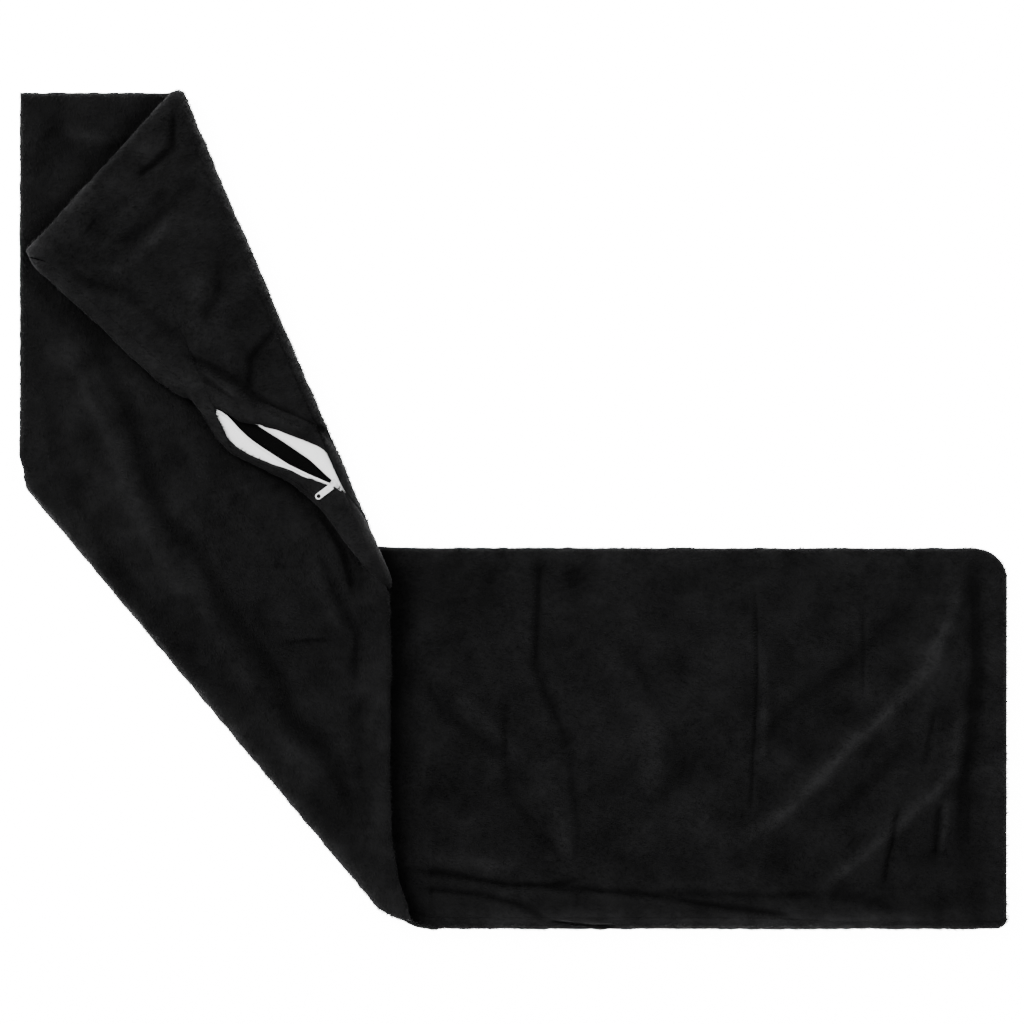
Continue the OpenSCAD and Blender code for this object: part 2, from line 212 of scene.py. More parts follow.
# each row's distance from the flap's fold, also for the last rows of the fold's arc
DIST = np.where(ZONE == FLAP, (R[:, 0] - FZ0[0]) / (TIP[0] - FZ0[0]) * REACH, -99.0)
OVER = (ZONE == FARC) & (R[:, 5] > 140)
DIST = np.where(OVER, -(RF + H) * np.sin(np.radians(R[:, 5])), DIST)

# the zip edge leaves the straight plan: a dent before the mouth, the lip's own roll, soft corners
DENT = ((0, 6), (6, 8), (12, 12), (18, 20), (22, 32), (26, 41), (35, 43), (46, 37), (58, 25), (69, 12),
        (80, 1), (88, -8), (94, -10), (98, 0), (101, 15), (105, 23), (115, 8), (131, -3), (160, 0))
shift = np.where(ZONE == FLAP, np.interp(DIST, *zip(*DENT)), 0.0)
shift = np.where(ZONE == FARC, np.interp(R[:, 5], [0, 90, 180], [0, 1, 6]), shift)
order = np.arange(NR)
soft = 21.0 * np.exp(-((order - order[ZONE == CARC].mean()) / 4.8) ** 2)
shift = shift + np.where(np.isin(ZONE, (UPPER, CARC, WEDGE)), soft, 0)
smoothing = np.array([0.25, 0.5, 0.25])
flap_rows = np.where(ZONE == FLAP)[0]
shift[flap_rows[3:-3]] = np.convolve(shift, smoothing, "same")[flap_rows[3:-3]]
R[:, 0:2] += UNIT * shift[:, None]
RUN = np.linalg.norm(R[:, 2:4] - R[:, 0:2], axis=1)
MODE, ANG = R[:, 4].astype(int), np.radians(R[:, 5])
ZC, SL, THIN = R[:, 8] - shift, R[:, 9], R[:, 10]


def on_flap(points):
    """Plan points in mm as (distance from the flap's fold, place along that row)."""
    p = np.array(points, float) - FZ0
    dd = -(p @ FOUT)
    yy = np.sum((p - (TIP - FZ0) * (np.maximum(dd, 0) / REACH)[:, None]) * FDIR, 1)
    return dd, yy


# edges of the open mouth, mm: both plush lips and both tapes' free edges
LIP_UP = ((-185.5, 51), (-190, 58.5), (-196, 64.5), (-203.7, 69.5), (-221, 76.6), (-242.4, 85.2),
          (-264.1, 91), (-284, 95.5), (-292.4, 101), (-302.3, 107.8), (-307.1, 108.0), (-308.2, 104))
TAPE_UP = ((-187.4, 32.5), (-194.1, 38.5), (-210.3, 54), (-239.2, 74.0), (-253.2, 83), (-263.9, 90),
           (-280.9, 94.0), (-293.8, 100.2))
TAPE_LOW = ((-187.4, 28.5), (-210.3, 38.5), (-231.7, 49.0), (-259.6, 67.4), (-272.4, 76.8), (-282, 86.0),
            (-293.8, 99.2), (-300.8, 104.5), (-306.1, 107.1))
LIP_LOW = ((-184, 26.6), (-190, 27.6), (-210.3, 34.5), (-231.7, 42.9), (-253.2, 51.3), (-272.4, 59.3),
           (-285.3, 67.2), (-296, 77.4), (-303.5, 87.5), (-306.5, 97.5))


def edge_rows(points, low, high):
    """Places of one mouth edge on the flap's rows. Outside low..high it returns to the zip line."""
    dd, yy = on_flap(points)
    o = np.argsort(dd)
    y = np.interp(DIST, dd[o], yy[o]) - shift
    f = smooth((DIST - low) / 1.6) * smooth((high - DIST) / 2.6)
    return np.where((ZONE == FLAP) | OVER, ZC + (y - ZC) * f, ZC), f


# the lips' and tapes' edges on the rows, and how open the mouth is there
UPF, f_up = edge_rows(LIP_UP, -3.0, 88.2)
LOF, f_lo = edge_rows(LIP_LOW, -0.6, 88.2)
TUF, _ = edge_rows(TAPE_UP, 0.8, 90.4)
TLF, _ = edge_rows(TAPE_LOW, 0.8, 90.4)
GAPE = np.where((ZONE == FLAP) | OVER, np.maximum(f_up, f_lo) * np.clip((UPF - LOF) * SL, 0, 99), 0)
OPEN = np.where(GAPE > 1.0, smooth((GAPE - 1.0) / 9.0), 0.0)
LIPF = np.where(GAPE > 1.0, np.maximum(UPF, ZC + 0.3), ZC - LAP)
LIPB = np.where(GAPE > 1.0, np.minimum(LOF, ZC - 0.3), ZC + LAP)
# the two tapes part inside the mouth only, and the upper one goes under its lip towards the far end
tape_up = np.maximum(TUF + 12 * smooth((DIST - 54) / 5), TLF + 0.6)
TAPF = np.where(GAPE > 1.0, np.minimum(tape_up, LIPF - 0.5 + 2.5 * smooth((DIST - 52) / 3)), ZC + 0.3)
TAPB = np.where(GAPE > 1.0, np.maximum(np.minimum(TLF, LIPF - 0.8), LIPB + 0.5), ZC - 0.3)
# how far in the sleeve's two sides are round
RZ = np.minimum(H * 1.1 / R[:, 6], RUN * 0.3)
RO = np.minimum(H * 1.1 / R[:, 7], RUN * 0.3)


def place(j, y, n):
    """Points in mm. j are row numbers, y is along the row from the zip side, n is off the sleeve's middle."""
    j = np.asarray(j)
    y, n = np.asarray(y, float), np.asarray(n, float)
    p = R[j, 0:2] + y[..., None] * UNIT[j]
    m, a = MODE[j], ANG[j]
    sa, ca = np.sin(np.abs(a)), np.cos(a)
    out = np.where((m == FLAP_BEND)[..., None], FOUT, COUT)
    reach = np.where(m == FLAP_BEND, (RF + n) * sa, np.where(m == CORNER_BEND, (RC - n) * sa, 0.0))
    q = p + out * reach[..., None]
    lift = np.select([m == LAID_OVER, m == FLAP_BEND, m == CORNER_BEND, m == ON_FLOOR],
                     [2 * RF + 0 * ca, RF - RF * ca, -RC + RC * ca, -2 * RC + 0 * ca], 0.0)
    nz = np.select([m == LAID_OVER, m == FLAP_BEND, m == RAISED, m == CORNER_BEND],
                   [1.0 + 0 * ca, -ca, -1.0 + 0 * ca, -ca], 1.0)
    lay = np.where(m <= RAISED, drape(q[..., 0], q[..., 1]), RISE)
    return np.stack([q[..., 0], q[..., 1], H + lift + lay + n * nz], -1)


def outer(j, y):
    """Half the sleeve's thickness on row j at y, round at both sides."""
    a = np.clip(y / RZ[j], 0, 1)
    b = np.clip((RUN[j] - y) / RO[j], 0, 1)
    near, far = (np.sqrt(np.maximum(0.0004, 1 - (1 - f) ** 2)) for f in (a, b))
    return H * THIN[j] * near * far


def inner(j, y):
    """Half the space inside the sleeve on row j at y."""
    far = RUN[j] - 1.9 * RO[j]
    k = np.where(THIN[j] < 1, THIN[j] * 0.6, 1.0)
    return np.minimum(outer(j, y) * 0.8, mix(INNER, 0.1, smooth((y - far) / (0.6 * RO[j]))) * k)


# ---------------------------------------------------------------- how the cloth lies: soft folds, mm
# each stroke: height before FOLD_GAIN, width, then the points it follows
UPPER_FOLDS = [
    (-2.7, 9, (-450, 215), (-437, 185), (-417, 140), (-397, 95), (-378, 33), (-361, -7), (-323, -51),
     (-306, -84), (-279, -128), (-251, -161), (-229, -217), (-196, -249), (-168, -305), (-163, -345)),
    (1.9, 11, (-480, 200), (-466, 176), (-444, 121), (-422, 77), (-395, 10), (-373, -34), (-330, -120)),
    (-1.3, 9, (-440, -5), (-417, -50), (-367, -117), (-320, -170)),
    (1.3, 10, (-340, -70), (-300, -140), (-255, -215), (-215, -275)),
    (-1.8, 9, (-292, 14), (-272, 2)),
    (1.0, 8, (-345, 80), (-335, 60), (-320, 30)),
    (-1.6, 10, (-250, 30), (-215, 10), (-200, -5)),
    (-3.6, 3.6, (-205, 4), (-186, -22), (-176, -40), (-170, -60), (-165, -84)),
    (-2.0, 5, (-202, -40), (-180, -89), (-161, -128), (-163, -180)),
    (1.2, 6, (-208, -60), (-190, -98), (-176, -135)),
    (1.3, 1.2, (-237, -133), (-212, -130), (-185, -130)),
    (-1.2, 1.5, (-238, -136), (-212, -134), (-190, -134)),
    (-1.8, 4, (-248, -56), (-234, -60)),
    (-1.5, 5, (-268, -184), (-255, -189)),
    (-1.5, 10, (-490, 160), (-475, 60), (-440, -10)),
    (-1.3, 8, (-160, -190), (-158, -250), (-152, -330)),
    (1.4, 8, (-470, 395), (-430, 388), (-400, 392)),
    (-1.6, 14, (-490, 400), (-470, 380), (-430, 360)),
]
FLAP_FOLDS = [
    (-3.2, 4.2, (-353, 415), (-352, 400), (-353, 378), (-373, 361), (-391, 347)),
    (-2.0, 6, (-467, 254), (-445, 237), (-401, 226), (-384, 209), (-356, 187), (-338, 176), (-343, 160)),
    (-1.7, 8, (-322, 352), (-362, 309), (-389, 287), (-412, 274)),
    (1.6, 8, (-345, 318), (-367, 287), (-395, 259), (-420, 246)),
    (-1.6, 7, (-398, 322), (-415, 315)),
    (-1.7, 8, (-358, 335), (-366, 322)),
    (-1.9, 6, (-304, 262), (-304, 248), (-306, 220), (-323, 198)),
    (1.2, 8, (-322, 250), (-330, 215)),
    (-2.8, 4.6, (-246, 190), (-256, 178), (-270, 158), (-274, 122)),
    (1.4, 8, (-300, 165), (-290, 140)),
    (-3.6, 4.0, (-343, 168), (-337, 162), (-306, 146), (-284, 132), (-262, 115), (-240, 102), (-196, 83),
     (-180, 62)),
    (1.4, 4.5, (-330, 152), (-290, 121), (-250, 97), (-205, 78)),
    (-1.6, 3.0, (-322, 140), (-300, 122), (-280, 108)),
    (-1.2, 8, (-380, 395), (-420, 350), (-450, 318)),
    (-1.3, 12, (-440, 300), (-420, 285)),
]
LEG_FOLDS = [
    (-2.2, 1.5, (38, -427.6), (60, -430.0), (80, -431.8), (108, -432.6)),
    (1.3, 1.4, (42, -425.0), (60, -427.2), (80, -429.0), (104, -430.0)),
    (-3.2, 3.4, (-112, -373), (-60, -381), (0, -391), (40, -391), (72, -387)),
    (1.8, 9, (-100, -360), (-50, -366), (10, -374)),
    (-2.6, 3.2, (-100, -394), (-34, -401), (8, -412), (42, -430)),
    (-2.8, 3.4, (20, -394), (80, -396), (141, -401), (225, -415), (281, -422), (309, -434)),
    (-2.4, 6, (330, -401), (360, -406), (400, -416)),
    (-1.6, 4, (141, -398), (240, -402), (330, -402)),
    (1.5, 6, (-60, -428), (60, -424), (200, -429), (330, -428), (480, -426)),
    (-1.8, 6, (-101, -163), (-69, -212), (-34, -240), (-6, -262), (-2, -296), (29, -338), (64, -374)),
    (1.3, 6, (-60, -188), (-28, -222), (8, -250)),
    (-2.2, 4, (-6, -198), (-7, -230), (-6, -262)),
    (-2.7, 5, (30, -45), (29, -72), (25, -157), (36, -191), (50, -215)),
    (-1.6, 5, (36, -191), (62, -247), (64, -296), (71, -332), (66, -374)),
    (1.3, 8, (48, -300), (56, -350), (70, -385)),
    (-1.9, 11, (60, -60), (68, -80)),
    (-1.9, 2.2, (254, -80), (256, -180), (252, -250), (249, -320)),
    (1.9, 5, (262, -150), (264, -200), (261, -262)),
    (-1.5, 9, (225, -262), (252, -247), (294, -205), (351, -163), (420, -93)),
    (2.9, 9, (240, -350), (252, -338), (294, -310), (351, -247), (393, -212), (435, -163), (462, -100),
     (468, -60)),
    (2.2, 8, (315, -400), (351, -373), (400, -331), (441, -296), (462, -268), (470, -200)),
    (-1.6, 8, (330, -330), (380, -280), (420, -235)),
    (-1.4, 2.4, (366, -97), (368, -150), (366, -192)),
    (-2.8, 3.6, (404, -308), (396, -345), (388, -392)),
    (-1.6, 3.2, (442, -205), (431, -268)),
    (-2.6, 4, (447, -305), (442, -362)),
    (1.6, 4, (455, -300), (448, -360)),
    (-2.6, 5, (477, -292), (469, -340)),
    (-3.7, 8, (482, -48), (484, -70), (487, -170), (480, -240), (471, -290), (474, -370)),
    (-1.6, 9, (352, -345), (362, -352)),
    (-1.2, 12, (175, -270), (190, -275)),
    (1.2, 14, (100, -150), (150, -240), (140, -320)),
    (-1.2, 14, (-60, -90), (-50, -140)),
    (-1.5, 9, (-112, -60), (-110, -200), (-108, -340)),
    (-1.2, 12, (-90, -290), (-40, -320)),
    (1.0, 1.4, (190, -300), (205, -318), (196, -330)),
]


FOLD_GAIN = 1.45


def strokes(folds, x, y):
    """Summed height of the strokes at each point."""
    h = np.zeros_like(x)
    for amp, wide, *pts in folds:
        p = np.array(pts, float)
        near = (x > p[:, 0].min() - 3 * wide) & (x < p[:, 0].max() + 3 * wide) & \
               (y > p[:, 1].min() - 3 * wide) & (y < p[:, 1].max() + 3 * wide)
        if not near.any():
            continue
        xs, ys = x[near], y[near]
        nearest = np.full(xs.shape, 1e9)
        along = np.zeros(xs.shape)
        lens = np.linalg.norm(np.diff(p, axis=0), axis=1)
        total, done = lens.sum(), 0.0
        for a, b, ln in zip(p[:-1], p[1:], lens):
            t = np.clip(((xs - a[0]) * (b[0] - a[0]) + (ys - a[1]) * (b[1] - a[1])) / (ln * ln), 0, 1)
            dd = (xs - a[0] - t * (b[0] - a[0])) ** 2 + (ys - a[1] - t * (b[1] - a[1])) ** 2
            closer = dd < nearest
            nearest = np.where(closer, dd, nearest)
            along = np.where(closer, (done + t * ln) / total, along)
            done += ln
            taper = smooth(along / 0.13) * smooth((1 - along) / 0.13) * 0.85 + 0.15
        wobble = 1 + 0.25 * noise2(xs, ys, 18, 5)
        h[near] += amp * taper * np.exp(-nearest / (wide * wobble) ** 2)
    return h


def lay_of(zone, x, y, whole=True):
    """Height of the cloth's folds over the plain sleeve, with the raised ridge if whole."""
    h = np.zeros_like(x)
    for zs, folds in (((FLAP, FARC), FLAP_FOLDS), ((UPPER, CARC), UPPER_FOLDS), ((LEG, WEDGE), LEG_FOLDS)):
        k = np.isin(zone, zs)
        if k.any():
            h[k] = strokes(folds, x[k], y[k])
    h *= FOLD_GAIN
    h += 0.8 * noise2(x, y, 64, 1) + 0.55 * noise2(x, y, 25, 2)
    if not whole:
        return h
    along = -(y - FZ0[1]) + 6
    across = x + 157.0
    ridge = 11.0 * np.exp(-(np.maximum(0, along) / 34.0) ** 2) * smooth(across / 16.0)
    ridge = ridge * smooth((along + 30) / 26)
    return h + np.where(zone == UPPER, ridge, 0)


# edges that lie on the cloth beneath or stand over it, with painted shade and highlight beside them, mm
FLAP_END = ((-362, 441), (-366.5, 435.8), (-440, 350.5), (-511.9, 266.7))
FLAP_LOW = ((-511.9, 266.7), (-503.5, 245.7), (-468.8, 218.4), (-370.1, 137.6), (-328.1, 116.6),
            (-325, 108.2), (-313.4, 87.2), (-298.7, 65.1), (-263, 46.2), (-232.6, 33.6), (-215.8, 22),
            (-201.1, 9.5), (-192.7, -4.2), (-181.1, -23.1), (-170.6, -38.9), (-167.5, -56.7), (-163.3, -73.5))
RIGHT_RIDGE = ((-133.9, -36.8), (-129.2, -110.3), (-127.6, -288.8), (-124.5, -348.6), (-117, -389.6),
               (-106, -427.4))
LOWER_FOLD = ((-508, 30), (-485, -2), (-330, -190), (-150, -398), (-106, -430))
FLAP_FOLD = ((-340, 430), (-309, 358), (-256, 232), (-198, 106), (-146, -18))


def dist_to(points, x, y):
    """Distance from each x, y to the line through the points."""
    best = np.full(np.shape(x), 1e9)
    p = np.array(points, float)
    for a, b in zip(p[:-1], p[1:]):
        ab = b - a
        f = np.clip(((x - a[0]) * ab[0] + (y - a[1]) * ab[1]) / (ab @ ab), 0, 1)
        best = np.minimum(best, (x - a[0] - f * ab[0]) ** 2 + (y - a[1] - f * ab[1]) ** 2)
    return np.sqrt(best)


def painted_shade_and_highlight(zone, x, y):
    """Painted shade and highlight in the plush's colour: painted shade in fold valleys and where an edge lies
    on the cloth, painted highlight on fold ridges and where the cloth stands over a rolled edge.
    """

    def near(points, wide, off=0.0):
        return np.exp(-((dist_to(points, x, y) - off) / wide) ** 2)

    # painted shade in the folds' valleys, painted highlight on their ridges
    s = np.exp(np.clip(lay_of(zone, x, y, False), -5, 4.5) * 0.2)
    flap = np.isin(zone, (FLAP, FARC))
    up = np.isin(zone, (UPPER, CARC))
    leg = np.isin(zone, (LEG, WEDGE))
    # painted highlight along the flap's end, its lower edge and its fold
    painted_flap_highlight = 1 + 0.9 * near(FLAP_END, 12, 7) + 0.8 * near(FLAP_LOW, 14, 11) + 0.25 * near(FLAP_FOLD, 6, 0)
    s = s * np.where(flap, painted_flap_highlight, 1)
    # painted shadow on the upper leg beside the flap's end and lower edge
    s = s * np.where(up, (1 - 0.72 * near(FLAP_END, 15)) * (1 - 0.55 * near(FLAP_LOW, 15)), 1)
    # painted highlight along the upper leg's right ridge and lower fold
    s = s * np.where(up, 1 + 0.45 * near(RIGHT_RIDGE, 15, 13) + 0.45 * near(LOWER_FOLD, 10, 2), 1)
    # painted shadow on the open leg beside the upper leg's right side
    s = s * np.where(leg, 1 - 0.8 * near(RIGHT_RIDGE, 20), 1)
    # painted highlight along the open leg's sides, and lighter towards its upper right
    painted_side_highlight = 1 + 0.35 * np.exp(-((x - 503) / 9) ** 2) + 0.3 * np.exp(-((y + 46) / 8) ** 2)
    painted_side_highlight = painted_side_highlight + 0.4 * np.exp(-((y + 424) / 10) ** 2)
    painted_side_highlight = painted_side_highlight + 0.12 * smooth((x - 20) / 200) * smooth((y + 420) / 120)
    s = s * np.where(leg, painted_side_highlight, 1)
    return np.clip(s, 0.12, 2.6)


def clumps(x, y, z):
    """The pile's own small lumps."""
    return 0.42 * noise2(x + 0.7 * z, y + 0.7 * z, 9, 3) + 0.34 * noise2(x + z, y - z, 4.6, 4)


def grid_normals(P):
    """Unit normals of a grid of points."""
    a = np.gradient(P, axis=0)
    b = np.gradient(P, axis=1)
    n = np.cross(a, b)
    return n / np.maximum(1e-9, np.linalg.norm(n, axis=2))[..., None]


def mesh_from_grid(name, P, uv=None):
    """A tube over rows of points (rows, around, 3) in mm, closed at both ends."""
    k, m = P.shape[:2]
    idx = np.arange(k * m).reshape(k, m)
    a, b = idx[:-1], idx[1:]
    faces = np.stack([a, np.roll(a, -1, 1), np.roll(b, -1, 1), b], -1).reshape(-1, 4).tolist()
    faces += [idx[0].tolist()[::-1], idx[-1].tolist()]
    me = bpy.data.meshes.new(name)
    me.from_pydata((P.reshape(-1, 3) * MM).tolist(), [], faces)
    if uv is not None:
        layer = me.uv_layers.new(name="cloth")
        lv = np.zeros(len(me.loops), int)
        me.loops.foreach_get("vertex_index", lv)
        layer.data.foreach_set("uv", uv.reshape(-1, 2)[lv].astype(float).ravel())
    me.polygons.foreach_set("use_smooth", [True] * len(me.polygons))
    me.update()
    return link(bpy.data.objects.new(name, me))


# ---------------------------------------------------------------- the two plush panels
ACROSS = 168
RING = 16.0  # width of the plush lip that frames the mouth


TURN = np.array([0.8, 0.6, 0.42, 0.28, 0.16, 0.07, 0.02, 0.0])  # places around the zip-side edge
EDGE_R = 3.2  # how far in a lip's edge is round
J = np.arange(NR)[:, None]
lip_f = np.minimum(LIPF, RUN * 0.55 + 0.9)
lip_b = np.minimum(LIPB, RUN * 0.55 - 0.9)
groove = mix(0.82, 0.35, OPEN)[:, None]


def panel_grid(side):
    """Outer and inner points of a panel. side is +1 for the front panel and -1 for the back panel."""
    far_f = np.array([1.0, 0.82, 0.64, 0.48, 0.34, 0.22, 0.12, 0.05, 0.0])
    if side > 0:
        start = lip_f + OPEN * RING / SL * 0.75
        t = np.linspace(0, 1, ACROSS)
        y = start[:, None] + (RUN - RO - start)[:, None] * t
        y = np.concatenate([y, RUN[:, None] - RO[:, None] * far_f[1:]], 1)
        jj = np.repeat(J, y.shape[1], 1)
        n = np.maximum(outer(jj, y), MIN_THICK * THIN[:, None])
        edge = np.clip((y - start[:, None]) * SL[:, None] / EDGE_R, 0, 1)
        edge = np.sqrt(np.maximum(0.05, 1 - (1 - edge) ** 2))
        n = np.maximum(n * mix(groove, 1, edge), np.minimum(n, MIN_THICK))
        back = (RUN - 1.2 * RO - start)[:, None] * np.linspace(1, 0.004, 26)
        yi = np.concatenate([RUN[:, None] - RO[:, None] * 0.4, start[:, None] + back], 1)
        ji = np.repeat(J, yi.shape[1], 1)
        ni = inner(ji, yi)
        ni[:, 0] = 0.05 * THIN
    else:
        bot = np.linspace(1, 0, ACROSS)
        y = np.concatenate([RUN[:, None] - RO[:, None] * far_f[::-1][:-1],
                            RZ[:, None] + (RUN - RO - RZ)[:, None] * bot], 1)
        yt = RZ[:, None] * TURN
        end = np.maximum(lip_b - OPEN * RING / SL * 0.75, RZ * 0.85)
        yu = RZ[:, None] * TURN[::-1][1:]
        yv = RZ[:, None] * 0.8 + (end - RZ * 0.8)[:, None] * np.linspace(0.08, 1, 12)
        y = np.concatenate([y, yt, yu, yv], 1)
        jj = np.repeat(J, y.shape[1], 1)
        n = -np.maximum(outer(jj, y), MIN_THICK * THIN[:, None])
        k = len(far_f) - 1 + ACROSS + len(TURN)
        n[:, k:] *= -1
        n[:, k - 1] = 0
        edge = np.clip((end[:, None] - y) * SL[:, None] / EDGE_R, 0, 1)
        edge = mix(groove, 1, np.sqrt(np.maximum(0.05, 1 - (1 - edge) ** 2)))
        n[:, k + 3:] *= edge[:, k + 3:]
        t = RZ * 0.62
        up = t[:, None] + (np.maximum(end, t + 0.3) - t)[:, None] * np.array([0.98, 0.6, 0.25])
        low = t[:, None] + 0.5 + (RUN - 1.2 * RO - t - 0.5)[:, None] * np.linspace(0.01, 1, 26)
        yi = np.concatenate([up, t[:, None], t[:, None], low, RUN[:, None] - RO[:, None] * 0.4], 1)
        ji = np.repeat(J, yi.shape[1], 1)
        ni = inner(ji, yi)
        ni[:, 3] *= 0.25
        ni[:, 4:] *= -1
        ni[:, 4] *= 0.25
        ni[:, -1] = -0.05 * THIN
    return place(jj, y, n), place(ji, yi, ni)


def dress(P, N):
    """Lay the cloth in its folds and roughen its pile."""
    z = np.repeat(ZONE[:, None], P.shape[1], 1)
    up = smooth((N[..., 2] + 0.1) / 0.7)
    under = (z == WEDGE)
    h = lay_of(z, P[..., 0], P[..., 1]) * up
    h = np.where(under, 0, h)
    h = np.clip(h, -3.7, 11.0)
    out = P + np.stack([0 * h, 0 * h, h], -1)
    c = clumps(P[..., 0], P[..., 1], P[..., 2]) * np.where(under, 0.2, 1.0)
    out = out + N * c[..., None]
    edge = 0.5 * noise2(P[..., 0], P[..., 1], 24, 8) + 0.5 * noise2(P[..., 0], P[..., 1], 10, 9)
    side = np.clip(1 - np.abs(N[..., 2]), 0, 1)
    out[..., 0] += N[..., 0] * side * edge
    out[..., 1] += N[..., 1] * side * edge
    out[..., 2] = np.maximum(out[..., 2], 0.25)
    return out


def panel(name, side):
    """A plush panel, with its outer points and their normals."""
    P, Q = panel_grid(side)
    N = grid_normals(P)
    if (N[..., 2] * side)[ZONE == LEG].mean() < 0:
        N = -N
    D = dress(P, N)
    o = mesh_from_grid(name, np.concatenate([D, Q], 1))
    co = np.zeros(len(o.data.vertices) * 3)
    o.data.vertices.foreach_get("co", co)
    co = co.reshape(-1, 3) / MM
    per = len(co) // NR
    col = np.ones((len(co), 4))
    # the shade attribute holds painted shade and highlight from the folds and edges
    col[:, :3] = painted_shade_and_highlight(np.repeat(ZONE, per), co[:, 0], co[:, 1])[:, None]
    # the inner surfaces get painted shade, far darker than the outer plush
    inside = np.tile(np.arange(per) >= D.shape[1], NR)
    col[inside, :3] = 0.12
    attr = o.data.color_attributes.new("shade", "FLOAT_COLOR", "POINT")
    attr.data.foreach_set("color", col.reshape(-1))
    o.data.validate()
    return o, D, N


front, front_pts, front_n = panel("front_panel", 1)
back, back_pts, back_n = panel("back_panel", -1)


# ---------------------------------------------------------------- lips of plush around the mouth
mouth_rows = np.where(OPEN > 0.02)[0]
m0, m1 = mouth_rows[0] - 1, mouth_rows[-1] + 1
MR = np.arange(m0, m1 + 1)


def lip(name, side):
    """A soft roll of plush along one side of the mouth."""
    inn = LIPF[MR] if side > 0 else LIPB[MR]
    wide = np.maximum(4.0, OPEN[MR] * RING + 4.0) / SL[MR]
    if side < 0:
        wide = np.minimum(wide, np.maximum(4.0, inn - RZ[MR] * 0.5))
    t = np.linspace(0, 1, 30)
    # over the top from the mouth's edge outward, then back beneath
    top_y = inn[:, None] + side * wide[:, None] * t
    crown = H + 0.9 * np.sin(np.pi * np.clip(t * 1.25, 0, 1))[None, :] * OPEN[MR][:, None]
    rise = np.sqrt(np.clip(1 - (1 - np.clip(t * wide[:, None] * SL[MR][:, None] / 3.6, 0, 1)) ** 2, 0, 1))
    fall = 1 - smooth((t - 0.72) / 0.28) * 0.9
    top_n = mix(INNER + 1.2, crown, rise) * fall[None, :]
    edge_y = inn[:, None] + side * np.array([0.2, -0.5, -0.6, -0.2])[None, :] / SL[MR][:, None]
    edge_n = np.repeat(np.array([[INNER + 0.1, INNER + 0.5, INNER + 0.9, INNER + 1.15]]), len(MR), 0)
    low_y = inn[:, None] + side * wide[:, None] * np.array([1.0, 0.6, 0.3])[None, :]
    low_n = np.repeat(np.array([[0.4, INNER + 0.1, INNER + 0.1]]), len(MR), 0)
    y = np.concatenate([edge_y, top_y, low_y], 1)
    n = np.concatenate([edge_n, top_n, low_n], 1)
    jj = np.repeat(MR[:, None], y.shape[1], 1)
    P = place(jj, y, n)
    N = grid_normals(P)
    if N[len(MR) // 2, 16, 2] < 0:
        N = -N
    up = smooth((N[..., 2] + 0.1) / 0.7)
    z = np.repeat(ZONE[MR][:, None], P.shape[1], 1)
    out = P + np.stack([0 * up, 0 * up, np.clip(lay_of(z, P[..., 0], P[..., 1]), -2.5, 3) * up], -1)
    out += N * clumps(P[..., 0], P[..., 1], P[..., 2])[..., None]
    return mesh_from_grid(name, out), out, N


lip_front, lip_front_pts, lip_front_n = lip("mouth_lip_front", 1)
lip_back, lip_back_pts, lip_back_n = lip("mouth_lip_back", -1)


# ---------------------------------------------------------------- zip tapes and coils
ZIP_FIRST, ZIP_END = 87.4, 185.0  # the zip starts this far out on the flap, and ends here on the open leg
zfirst = int(np.argmin(np.abs(np.where(ZONE == FLAP, DIST - ZIP_FIRST, 1e9))))
zlast = int(np.argmin(np.abs(np.where(ZONE == LEG, R[:, 0] - ZIP_END, 1e9))))
ZR = np.arange(zfirst, zlast + 1)
TAPE_W = 11.0
open_rows = ZR[OPEN[ZR] > 0]
ZM = np.arange(ZR[0], open_rows[-1] + 2)
ZS = np.arange(open_rows[-1] + 1, ZR[-1] + 1)


def tape(name, side, ZR):
    """One woven tape on the rows ZR, arched where the mouth is open."""
    u = np.linspace(0, 1, 13)
    y0 = TAPF[ZR] if side > 0 else TAPB[ZR]
    lip_y = LIPF[ZR] if side > 0 else LIPB[ZR]
    y1 = np.where(OPEN[ZR] > 0, np.where(side > 0, np.maximum(lip_y, y0), lip_y) + side * 4.5 / SL[ZR],
                  y0 + side * TAPE_W / SL[ZR])
    if side < 0:
        y1 = np.minimum(np.maximum(y1, RZ[ZR] * 0.64), y0 - 0.5)
    y = y0[:, None] + (y1 - y0)[:, None] * u
    open_ = OPEN[ZR][:, None]
    arch = (0.9 * np.sin(np.pi * np.clip(u, 0, 1)))[None, :] * open_
    ripple = 0.35 * np.sin(np.arange(len(ZR)) * 0.9)[:, None] * (1 - u)[None, :] * open_ * 0.5
    base = 0.35 + arch + ripple + 0.9 * open_ * (1 - u)[None, :] * 0.6
    top = base + 0.45
    yy = np.concatenate([y, y[:, ::-1]], 1)
    nn = np.concatenate([top, base[:, ::-1]], 1)
    jj = np.repeat(ZR[:, None], yy.shape[1], 1)
    P = place(jj, yy, nn)
    mid = place(ZR, y0, np.full(len(ZR), 0.5))
    s = np.concatenate([[0], np.cumsum(np.linalg.norm(np.diff(mid, axis=0), axis=1))])
    around = np.concatenate([u, u[::-1]])[None, :] * TAPE_W
    uv = np.stack([np.repeat(s[:, None], yy.shape[1], 1) / 10, np.repeat(around / 10, len(ZR), 0)], -1)
    return mesh_from_grid(name, P, uv=uv)


tape_front = tape("zip_tape_woven_front", 1, ZS)
tape_back = tape("zip_tape_woven_back", -1, ZS)
tape_open_front = tape("zip_tape_mouth_front", 1, ZM)
tape_open_back = tape("zip_tape_mouth_back", -1, ZM)


